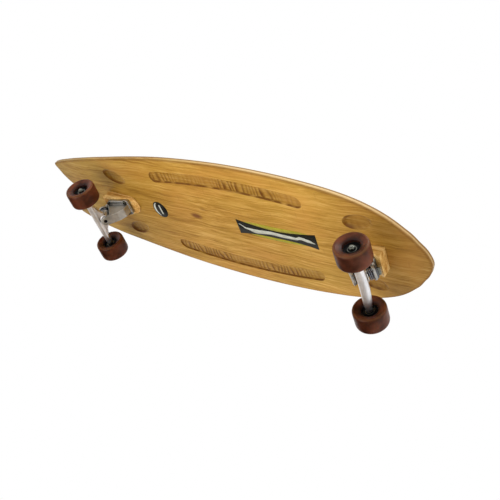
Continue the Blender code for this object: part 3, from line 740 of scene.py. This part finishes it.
def ripple(x, y):
    """The cutter's chatter on a routed floor, from 0 to about 1, stronger in some stretches."""
    wander = noise.noise(Vector((x * 34, y * 16, 1.7)))
    wave = 0.5 + 0.5 * math.sin(2 * math.pi * x / RIPPLE_PITCH + 6.5 * wander)
    patch = noise.noise(Vector((x * 13, y * 4, 7.3)))
    fine = noise.noise(Vector((x * 240, y * 40, 2.9)))
    strength = min(1.0, max(0.34, 0.66 + 1.8 * patch))
    return strength * (0.75 * wave**1.6 + 0.5 * max(0.0, fine))


def shadowed(outward, spot):
    """How much painted shadow a hollow's wall gets, from 0 to 1, on the side that outward points
    to.
    """
    facing = smooth_step(0.5 + 0.8 * outward.dot(SHADED_SIDE))
    blotch = 0.95 + 0.9 * noise.noise(Vector((*spot, 0.4)) * 45)
    return facing * min(1.0, max(0.35, blotch))


def well_ring(end_x, inward, side, share):
    """Points round an oval wheel well, at a share of its full size."""
    turn = Matrix.Rotation(-inward * side * WELL_TURN, 2)
    centre = Vector((end_x + inward * WELL_INWARD, side * WELL_Y))
    size = Vector((share * WELL_HALF_LENGTH, share * WELL_HALF_WIDTH))
    turns = [2 * math.pi * i / WELL_STEPS for i in range(WELL_STEPS)]
    return [centre + turn @ Vector((size.x * math.cos(a), size.y * math.sin(a))) for a in turns]


def winds_round(ring, point):
    """Whether the point is inside the ring."""
    inside = False
    for i, a in enumerate(ring):
        b = ring[i - 1]
        if (a.y > point.y) != (b.y > point.y):
            if point.x < (b.x - a.x) * (point.y - a.y) / (b.y - a.y) + a.x:
                inside = not inside
    return inside


def nearest(ring, point):
    """How far the point is from the nearest one of the ring."""
    return min((point - other).length_squared for other in ring) ** 0.5


class DeckSurface:
    """Collects the deck's surface. Each vertex keeps how much painted shade and brown it gets, and
    how pale its rail is, partly a painted highlight.
    """

    def __init__(self):
        self.work = bmesh.new()
        self.shade_and_brown = self.work.verts.layers.float.new("shade_and_brown")
        self.rail = self.work.verts.layers.float.new("rail")
        self.holes = []

    def verts(self, points, height, rail=0.0, shade_and_brown=0.0):
        loop = []
        for point in points:
            vert = self.work.verts.new((point.x, point.y, DECK_Z + height + rise(point.x)))
            vert[self.rail] = rail
            vert[self.shade_and_brown] = shade_and_brown
            loop.append(vert)
        return loop

    def joined(self, loops):
        for near, far in zip(loops, loops[1:]):
            bridge(self.work, near, far)

    def edge(self):
        """Sections of the rail, underside to top: inset, height, how pale and how brown. The brown
        on the underside's rounding is painted shade.
        """
        sections = [(RAIL_ROUNDING + RAIL_LANDING, 0.0, 0.0, 0.06)]
        steps = RAIL_ROUNDING_STEPS
        r = RAIL_ROUNDING
        for i in range(steps + 1):
            a = math.pi / 2 * i / steps
            # Painted shade, deepest half way round the underside's rounding.
            brown = 0.42 + 0.16 * math.sin(2 * a)
            pale = 0.2 * i / steps
            sections.append((r * (1 - math.sin(a)), r * (1 - math.cos(a)), pale, brown))
        for height, pale, brown in RAIL_TONES:
            sections.append((0.0, height, pale, brown))
        r = RAIL_TOP_ROUNDING
        for i in range(steps + 1):
            a = math.pi / 2 * i / steps
            height = DECK_THICKNESS - r * (1 - math.sin(a))
            sections.append((r * (1 - math.cos(a)), height, 0.7, 0.62))
        return sections

    def channel(self, side):
        loops = []
        middle = capsule(0.0, side)
        for from_edge in CHANNEL_RINGS:
            loop = self.verts(capsule(CHANNEL_HALF_WIDTH - from_edge, side), 0.0)
            wall = smooth_step(from_edge / CHANNEL_WALL)
            settled = eased(from_edge, *RIPPLE_SETTLES)
            wall_shadow = smooth_step(from_edge / WALL_SHADOW_START) * (1 - eased(from_edge, *WALL_SHADOW_FADES))
            floor = eased(from_edge, *CHANNEL_FLOOR)
            for vert, heart in zip(loop, middle):
                across = vert.co.xy - heart
                chatter = ripple(vert.co.x, vert.co.y)
                vert.co.z += wall * CHANNEL_DEPTH - settled * RIPPLE_HEIGHT * chatter
                # Painted shade: the floor is darker, more so with the chatter and towards one wall,
                # and the walls of one side get a painted shadow.
                shadow = 1 - 0.45 * smooth_step((SHADOW_FROM - across.y) / CHANNEL_HALF_WIDTH)
                shade = floor * (0.24 + 0.10 * shadow + 0.92 * shadow * chatter**CHATTER_POWER)
                edge = wall_shadow * shadowed(across.normalized(), vert.co.xy)
                vert[self.shade_and_brown] = max(0.95 * edge, shade)
            loops.append(loop)
        self.joined(loops)
        inner = loops[-1]
        last = CHANNEL_SIDE_STEPS + CHANNEL_END_STEPS
        for i in range(CHANNEL_SIDE_STEPS):
            over = len(inner) - CHANNEL_END_STEPS - i
            quad = (inner[i], inner[i + 1], inner[over - 1], inner[over % len(inner)])
            self.work.faces.new(quad)
        self.work.faces.new(inner[CHANNEL_SIDE_STEPS : last + 1])
        self.work.faces.new(inner[last + CHANNEL_SIDE_STEPS :] + inner[:1])
        self.holes.append(loops[0])

    def well(self, end_x, inward, side):
        loops = []
        centre = sum(well_ring(end_x, inward, side, 1.0), Vector((0, 0))) / WELL_STEPS
        for share in WELL_RINGS:
            loop = self.verts(well_ring(end_x, inward, side, share), 0.0)
            inside = 1.0 - share
            fades = eased(inside, WELL_WALL_SHADOW_TO, WELL_WALL_SHADOW_FADE)
            wall_shadow = smooth_step(inside / WELL_LIP) * (1 - fades)
            floor = smooth_step(inside / WELL_FLOOR)
            for vert in loop:
                vert.co.z += WELL_DEPTH * smooth_step(inside / WELL_WALL)
                chatter = ripple(vert.co.x, vert.co.y)
                outward = (vert.co.xy - centre).normalized()
                # Painted shade on the floor, deeper towards one side and with the chatter, and a
                # painted shadow on the walls of that side.
                side_shade = 0.5 + 0.5 * share * outward.dot(SHADED_SIDE)
                shade = floor * side_shade * (WELL_SHADE[inward] + 1.2 * chatter**CHATTER_POWER)
                vert[self.shade_and_brown] = max(wall_shadow * shadowed(outward, vert.co.xy), min(0.92, shade))
            loops.append(loop)
        self.joined(loops)
        self.work.faces.new(loops[-1])
        self.holes.append(loops[0])

    def face(self, boundary, holes, height):
        """A flat skin inside the boundary and outside the holes."""
        rim = [v.co.xy for v in boundary]
        gaps = [[v.co.xy for v in loop] for loop in holes]
        known = []
        edges = []
        for loop in [boundary] + holes:
            first = len(known)
            known += loop
            edges += [(first + i, first + (i + 1) % len(loop)) for i in range(len(loop))]
        points = [v.co.xy for v in known]
        for p in flat_grid():
            if winds_round(rim, p) and nearest(rim[::6], p) > SKIN_STEP / 2:
                near = (winds_round(g, p) or nearest(g[::4], p) < SKIN_HOLE_MARGIN for g in gaps)
                if not any(near):
                    points.append(p)
        coords, _, faces, origins, _, _ = delaunay_2d_cdt(points, edges, [], 1, SAME_POINT)
        corners = []
        for p, origin in zip(coords, origins):
            found = [known[o] for o in origin if o < len(known)]
            corners.append(found[0] if found else self.verts([p], height)[0])
        for face in faces:
            verts = [corners[i] for i in face]
            middle = sum((coords[i] for i in face), Vector((0, 0))) / len(face)
            if len(set(verts)) == len(verts) and not any(winds_round(g, middle) for g in gaps):
                self.work.faces.new(verts)


def flat_grid():
    """Inner points that let the sheet follow the rise of its nose and tail."""
    low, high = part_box("deck")
    columns = int((high.x - low.x) / SKIN_STEP)
    rows = int((high.y - low.y) / SKIN_STEP)
    for i in range(1, columns):
        x = low.x + i * (high.x - low.x) / columns
        for j in range(1, rows):
            yield Vector((x, low.y + j * (high.y - low.y) / rows))


def build_deck(axles):
    ring = deck_outline()
    surface = DeckSurface()
    rails = [surface.verts(inset(ring, across), *look) for across, *look in surface.edge()]
    surface.joined(rails)
    for side in (1, -1):
        surface.channel(side)
    for end, axle in axles.items():
        for side in (1, -1):
            surface.well(axle.x, -1 if end == "front" else 1, side)
    surface.face(rails[0], surface.holes, 0.0)
    surface.face(rails[-1], [], DECK_THICKNESS)
    deck = made("bamboo_deck", surface.work)
    finished(deck, "board", "bamboo", crease=50)
    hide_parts("deck")


# -------- stickers


def plate(name, near, far, layer, colour):
    """A thin sticker between two lines of points on the deck's underside."""
    work = bmesh.new()
    rows = []
    for level in (layer - 1, layer):
        z = DECK_Z - STICKER_GAP - STICKER_LAYER * level
        rows.append([[work.verts.new((x, y, z)) for x, y in line] for line in (near, far)])
    (top_near, top_far), (low_near, low_far) = rows
    flats = ((top_near, top_far), (low_near, low_far))
    sides = ((top_near, low_near), (top_far, low_far))
    for a, b in flats + sides:
        for i in range(len(a) - 1):
            work.faces.new((a[i], a[i + 1], b[i + 1], b[i]))
    for i in (0, -1):
        work.faces.new((top_near[i], top_far[i], low_far[i], low_near[i]))
    finished(made(name, work), "board", "black_plastic", f"sticker_{colour}")


def black_half(u, side):
    """Half the width of the strip's dark field, u from -1 to 1 along it."""
    middle, flare, power = STRIP_FLARE[side]
    return middle + flare * abs(u) ** power


def smooth_table(table, steps):
    """Points between the table's rows, eased so that the line has no corners."""
    rows = []
    for a, b in zip(table, table[1:]):
        for i in range(steps):
            ease = smooth_step(i / steps)
            rows.append([p + (q - p) * share for p, q, share in zip(a, b, (i / steps, ease, ease))])
    return rows + [list(table[-1])]


def badge_line(turns, half_length, half_width, bow=0.0):
    """Points on half of the badge's oval. The bow pulls their middle in."""
    line = []
    for a in turns:
        across = math.cos(a)
        length = (half_length - bow * across**0.6) * across
        line.append((BADGE_X - length, half_width * math.sin(a)))
    return line


def build_stickers():
    shares = [2 * i / STRIP_STEPS - 1 for i in range(STRIP_STEPS + 1)]
    xs = [STRIP_X + STRIP_HALF_LENGTH * u for u in shares]
    near, far = (
        [(x, side * black_half(u, side)) for x, u in zip(xs, shares)] for side in (-1, 1)
    )
    plate("strip_dark", near, far, 1, "black")
    for side, reach, width, name in LIME_EDGES:
        inner = []
        outer = []
        for u in shares:
            x = STRIP_X + STRIP_HALF_LENGTH * u * reach
            base = black_half(u * reach, side) + LIME_GAP
            inner.append((x, side * base))
            outer.append((x, side * (base + LIME_THINNEST + width * (1 - u * u) ** 0.8)))
        plate(f"strip_lime_{name}", inner, outer, 1, "lime")
    wave = smooth_table(WAVE, WAVE_STEPS)
    low = [(x, y - half) for x, y, half in wave]
    high = [(x, y + half) for x, y, half in wave]
    plate("strip_wave", low, high, 2, "pale")

    turns = [math.pi * (i / STRIP_STEPS - 0.5) for i in range(STRIP_STEPS + 1)]
    near, far = (badge_line(turns, side * BADGE_HALF_LENGTH, BADGE_HALF_WIDTH) for side in (1, -1))
    plate("badge_dark", near, far, 1, "black")
    arc = turns[ARC_FROM:ARC_TO]
    rim = badge_line(arc, *ARC_OUTER)
    bowed = badge_line(arc, ARC_OUTER[0], ARC_INNER_HALF_WIDTH, ARC_THICKNESS)
    plate("badge_arc", rim, bowed, 2, "pale")
    bar = [BAR_HALF_LENGTH * (2 * i / BAR_STEPS - 1) for i in range(BAR_STEPS + 1)]
    left, right = ([(BADGE_X + edge + BAR_LEAN * y, y) for y in bar] for edge in BAR_EDGES)
    plate("badge_bar", left, right, 2, "pale")


# -------- trucks


def reworked(node, name, **modifiers):
    """A copy of a CAD node, changed for good by modifiers."""
    copy = linked(name, frame["nodes"][node].data.copy())
    for kind, settings in modifiers.items():
        modifier = copy.modifiers.new(kind, kind)
        for key, value in settings.items():
            setattr(modifier, key, value)
    mesh = evaluated(copy)
    copy.modifiers.clear()
    copy.data = mesh
    return copy


def worn_casting(node, name, body, slot, steering):
    """A CAD casting with its edges and inner corners rounded, as sand and polish leave them.

    The metal round the steering spring is marked for painted shade there.
    """
    casting = reworked(
        node,
        name,
        REMESH={"mode": "VOXEL", "voxel_size": CAST_VOXEL},
        SMOOTH={"factor": 0.5, "iterations": CAST_SMOOTHING},
        DECIMATE={"ratio": CAST_KEEP},
    )
    housing_shade = casting.data.attributes.new("housing_shade", "FLOAT", "POINT")
    to_pin = steering.inverted()
    for vertex, mark in zip(casting.data.vertices, housing_shade.data):
        x, y, along = to_pin @ vertex.co
        near_pin = 1 - eased(math.hypot(x, y), *HOUSING_RADIUS)
        mark.value = near_pin * eased(along, *HOUSING_FROM)
    finished(casting, body, slot)
    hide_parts(node)


def build_riser(end):
    """The wooden wedge under a truck, with its sharp edges eased."""
    sharp = {"limit_method": "ANGLE", "angle_limit": math.radians(32)}
    bevel = {"width": RISER_EDGE, "segments": 3, "use_clamp_overlap": True, **sharp}
    node = f"riser_{end}"
    riser = reworked(node, f"wedge_{node}", WELD={"merge_threshold": 0.00002}, BEVEL=bevel)
    finished(riser, "board", "riser_wood", crease=30)
    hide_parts(node)


def hex_nut(across_flats, bore, whole, body):
    """The profile of a chamfered hexagon, a share of the whole, and its round locking collar."""
    height = whole * body
    circle = across_flats / 2
    cut = across_flats * 0.07
    return (
        (bore, 0.0),
        (hexagon(across_flats, circle), 0.0),
        (hexagon(across_flats), cut),
        (hexagon(across_flats), height - cut),
        (hexagon(across_flats, circle * 0.98), height),
        (circle * 0.90, height),
        (circle * 0.88, height + (whole - height) * 0.6),
        (circle * 0.74, whole),
        (bore, whole),
    )


def spring_mesh(name, spot):
    """A coil round the spot's Z."""
    curve = bpy.data.curves.new(name, "CURVE")
    curve.dimensions = "3D"
    curve.bevel_depth = SPRING_WIRE
    curve.bevel_resolution = 5
    curve.use_fill_caps = True
    spline = curve.splines.new("POLY")
    count = SPRING_TURNS * SPRING_POINTS
    spline.points.add(count)
    low = SPRING_FROM + SPRING_WIRE
    high = SPRING_TO - SPRING_WIRE
    for i, point in enumerate(spline.points):
        a = 2 * math.pi * i / SPRING_POINTS
        height = low + (high - low) * i / count
        x, y, z = spot @ Vector((SPRING_RADIUS * math.cos(a), SPRING_RADIUS * math.sin(a), height))
        point.co = (x, y, z, 1)
    return linked(name, curve_mesh(curve))


def build_steering_pin(end, steering):
    socket = hexagon(PIN_SOCKET)
    flats = hexagon(PIN_HEAD_ACROSS_FLATS)
    circle = PIN_HEAD_ACROSS_FLATS / 2
    profile = (
        (socket, PIN_FROM + 0.003),
        (socket, PIN_FROM),
        (PIN_RADIUS - 0.0005, PIN_FROM),
        (PIN_RADIUS, PIN_FROM + 0.0005),
        (PIN_RADIUS, PIN_HEAD_FROM),
        (hexagon(PIN_HEAD_ACROSS_FLATS, circle), PIN_HEAD_FROM),
        (flats, PIN_HEAD_FROM + 0.0008),
        (flats, PIN_HEAD_TO - 0.0012),
        (hexagon(PIN_HEAD_ACROSS_FLATS, circle * 0.97), PIN_HEAD_TO),
        (circle * 0.55, PIN_HEAD_TO),
        (circle * 0.50, PIN_HEAD_TO - 0.0006),
    )
    pin = turned(f"steering_pin_{end}", profile, steering)
    finished(pin, "board", "steel", crease=HEX_CREASE)
    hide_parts(f"kingpin_{end}")
    profile = (
        (BORE_RADIUS - 0.0002, PIN_FROM - 0.0003),
        (BORE_RADIUS - 0.0002, PIN_FROM - 0.0018),
        (BORE_RADIUS - 0.0008, PIN_FROM - 0.0021),
        (socket, PIN_FROM - 0.0021),
        (socket, PIN_FROM - 0.0005),
    )
    plug = turned(f"grease_plug_{end}", profile, steering)
    finished(plug, "board", "black_steel", crease=HEX_CREASE)

    edge = WASHER_EDGE
    for name, node, body, slot, look, (radius, low, high) in (
        ("thrust_washer", "pivot_washer", "board", "bronze", "bronze", WASHER),
        ("spring_plate", "spring_seat", f"{end}_truck", "steel", "bright_steel", SEAT),
    ):
        profile = (
            (BORE_RADIUS, low),
            (radius - edge, low),
            (radius, low + edge),
            (radius, high - edge),
            (radius - edge, high),
            (BORE_RADIUS, high),
        )
        ring = lathe(f"{name}_{end}", profile, steering)
        finished(ring, body, slot, look, crease=40)
        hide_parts(f"{node}_{end}")

    spring = spring_mesh(f"steering_spring_{end}", steering)
    finished(spring, "board", "spring_steel", crease=60)
    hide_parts(f"centring_spring_{end}")


def build_deck_bolts(end, truck):
    for number, (x, side) in enumerate(((x, s) for x in BOLT_XS for s in (1, -1)), start=1):
        low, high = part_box(f"deck_bolt_{end}_{number}")
        nut_low, nut_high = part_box(f"deck_nut_{end}_{number}")
        top = high.z
        spot = truck @ Matrix.Translation((x, side * BOLT_Y, 0))
        profile = (
            (BOLT_RADIUS - 0.0004, low.z),
            (BOLT_RADIUS, low.z + 0.0004),
            (BOLT_RADIUS, top - BOLT_HEAD_HEIGHT),
            (BOLT_HEAD_RADIUS, top - 0.0002),
            (BOLT_HEAD_RADIUS - 0.0003, top),
            (hexagon(BOLT_SOCKET), top),
            (hexagon(BOLT_SOCKET), top - 0.0018),
        )
        bolt = turned(f"deck_screw_{end}_{number}", profile, spot)
        finished(bolt, "board", "black_steel", crease=HEX_CREASE)
        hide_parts(f"deck_bolt_{end}_{number}")
        height = nut_high.z - nut_low.z
        profile = hex_nut(BOLT_NUT_ACROSS_FLATS, BOLT_RADIUS + 0.0003, height, BOLT_NUT_BODY)
        upside = Matrix.Translation((0, 0, nut_high.z)) @ Matrix.Rotation(math.pi, 4, "X")
        nut = turned(f"lock_nut_{end}_{number}", profile, spot @ upside, closed=True)
        finished(nut, "board", "steel", crease=HEX_CREASE)
        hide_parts(f"deck_nut_{end}_{number}")


# -------- wheels and axles


def thread(y):
    """The thread's radius, by angle, at one level of its spiral."""

    def radius(angle):
        share = (y / THREAD_PITCH + angle / (2 * math.pi)) % 1.0
        return AXLE_RADIUS - THREAD_DEPTH * abs(2 * share - 1)

    return radius


def build_axle(end, axle):
    """A rod with a thread on each end."""
    spot = Matrix.Translation(axle) @ Matrix.Rotation(-math.pi / 2, 4, "X")
    count = int((AXLE_END - THREAD_FROM) / THREAD_PITCH * THREAD_LEVELS)
    levels = [THREAD_FROM + THREAD_PITCH * i / THREAD_LEVELS for i in range(count)]
    half = [(AXLE_RADIUS, THREAD_FROM - 0.0003)] + [(thread(y), y) for y in levels]
    half.append((AXLE_RADIUS - 0.0007, AXLE_END))
    other = [(r, -y) for r, y in reversed(half)]
    rod = turned(f"threaded_axle_{end}", other + half, spot)
    finished(rod, f"{end}_truck", "steel", crease=TURNED_CREASE)
    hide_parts(f"axle_{end}")


def mark_tyre(mesh, middle):
    """Marks how far each vertex is into the dish, for its painted shade, and how near the lip, for
    its painted highlight.
    """
    dish_shade = mesh.attributes.new("dish_shade", "FLOAT", "POINT")
    lip_highlight = mesh.attributes.new("lip_highlight", "FLOAT", "POINT")
    to_wheel = middle.inverted()
    for vertex in mesh.vertices:
        x, y, across = to_wheel @ vertex.co
        radius = math.hypot(x, y)
        dish_shade.data[vertex.index].value = 1 - eased(radius, *DISH_EDGE)
        outer = eased(radius, *LIP_FROM_RADIUS)
        lip_highlight.data[vertex.index].value = outer * eased(abs(across), *LIP_FROM_MIDDLE)


def build_wheel(end, side_name, side, axle):
    name = f"{end}_{side_name}"
    body = f"{name}_wheel"

    def on_axle(y):
        """A place on the axle whose Z points outward."""
        outward = Matrix.Rotation(-side * math.pi / 2, 4, "X")
        return Matrix.Translation((axle.x, side * y, axle.z)) @ outward

    middle = on_axle(WHEEL_Y)
    core_spot = on_axle(CORE_Y)
    tyre = lathe(f"{name}_tyre", mirrored(TYRE_HALF), middle)
    mark_tyre(tyre.data, middle)
    finished(tyre, body, "urethane")
    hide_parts(f"tyre_{name}")
    core = lathe(f"{name}_core", mirrored(CORE_HALF), core_spot)
    finished(core, body, "black_plastic", crease=TURNED_CREASE)
    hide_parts(f"wheel_core_{name}")

    for step, which in ((-1, "inner"), (1, "outer")):
        shift = core_spot @ Matrix.Translation((0, 0, step * BEARING_STEP))
        race = lathe(f"{name}_{which}_race", mirrored(RACE_HALF), shift)
        finished(race, body, "steel", crease=TURNED_CREASE)
        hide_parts(f"bearing_{which}_{name}")
        seal = lathe(f"{name}_{which}_seal", mirrored(SEAL_HALF), shift)
        finished(seal, body, "black_plastic", crease=TURNED_CREASE)

    low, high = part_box(f"axle_nut_{name}")
    profile = hex_nut(AXLE_NUT_ACROSS_FLATS, BEARING_BORE, high.y - low.y, AXLE_NUT_BODY)
    spot = on_axle(min(abs(low.y), abs(high.y)))
    nut = turned(f"{name}_lock_nut", profile, spot, closed=True)
    finished(nut, f"{end}_truck", "steel", crease=HEX_CREASE)
    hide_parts(f"axle_nut_{name}")


# -------- stage, lights, camera


def stage_floor():
    """A plain floor that can be seen through from below."""
    size = FLOOR_HALF_SIZE
    mesh = bpy.data.meshes.new("floor")
    corners = ((-size, -size), (size, -size), (size, size), (-size, size))
    mesh.from_pydata([(x, y, FLOOR_Z) for x, y in corners], [], [(0, 1, 2, 3)])
    floor = linked("floor", mesh)
    nodes = Nodes("floor", Roughness=0.8)
    cloud = nodes.noise(3, detail=2.0)
    colour = nodes.ramp(cloud, ((0.3, srgb(240, 240, 239)), (0.7, srgb(244, 244, 243))))
    nodes.feed("Base Color", colour)
    facing = nodes.add("ShaderNodeNewGeometry")
    clear = nodes.add("ShaderNodeBsdfTransparent")
    either = nodes.add("ShaderNodeMixShader")
    sources = (facing.outputs["Backfacing"], nodes.shader.outputs[0], clear.outputs[0])
    nodes.plug(either.inputs, sources)
    nodes.join(either.outputs[0], nodes.tree.nodes["Material Output"].inputs["Surface"])
    floor.data.materials.append(nodes.material)
    floor.visible_shadow = False


def area_light(name, place, size, power):
    """A round soft light aimed at the board."""
    light = bpy.data.lights.new(name, "AREA")
    light.shape = "DISK"
    light.size = size
    light.energy = power
    obj = linked(name, light)
    obj.location = place
    aim = Vector(LIGHTS_AIM) - Vector(place)
    obj.rotation_euler = aim.to_track_quat("-Z", "Y").to_euler()
    obj.visible_camera = False


def studio():
    world = bpy.data.worlds.new("studio")
    bpy.context.scene.world = world
    world.use_nodes = True
    set_inputs(world.node_tree.nodes["Background"], Color=(1, 1, 1, 1), Strength=1.0)
    bpy.context.scene.view_settings.view_transform = "Standard"
    for light in LIGHTS:
        area_light(*light)


def place_camera():
    camera = bpy.data.cameras.new("camera")
    camera.lens = CAMERA_LENS
    camera.sensor_width = CAMERA_SENSOR
    obj = linked("camera", camera)
    obj.location = CAMERA_AT
    obj.rotation_euler = [math.radians(a) for a in CAMERA_TURN_DEG]
    bpy.context.scene.camera = obj


# -------- assembly


def centre(node):
    low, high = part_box(node)
    return (low + high) / 2


def build_truck(end, axle):
    turn = Matrix.Rotation(math.pi if end == "front" else 0.0, 4, "Z")
    truck = Matrix.Translation((axle.x, 0, 0)) @ turn
    lean = Matrix.Rotation(-AXIS_TILT, 4, "Y")
    steering = truck @ Matrix.Translation((AXIS_X, 0, AXIS_Z)) @ lean
    worn_casting(f"truck_base_{end}", f"base_casting_{end}", "board", "cast_aluminium", steering)
    hanger = f"hanger_casting_{end}"
    worn_casting(f"hanger_{end}", hanger, f"{end}_truck", "polished_aluminium", steering)
    build_riser(end)
    build_steering_pin(end, steering)
    build_deck_bolts(end, truck)
    build_axle(end, axle)
    for side, side_name in ((1, "left"), (-1, "right")):
        build_wheel(end, side_name, side, axle)


AXLES = {end: centre(f"axle_{end}") for end in ("front", "rear")}
SLOTS = {entry["node"]: entry["material_slot"] for entry in frame["record"]["subparts"]}
for NODE, OBJ in frame["nodes"].items():
    OBJ.data.materials.clear()
    OBJ.data.materials.append(MATERIALS[SLOTS[NODE]])

place_camera()
studio()
stage_floor()
build_deck(AXLES)
build_stickers()
for END, AXLE in AXLES.items():
    build_truck(END, AXLE)
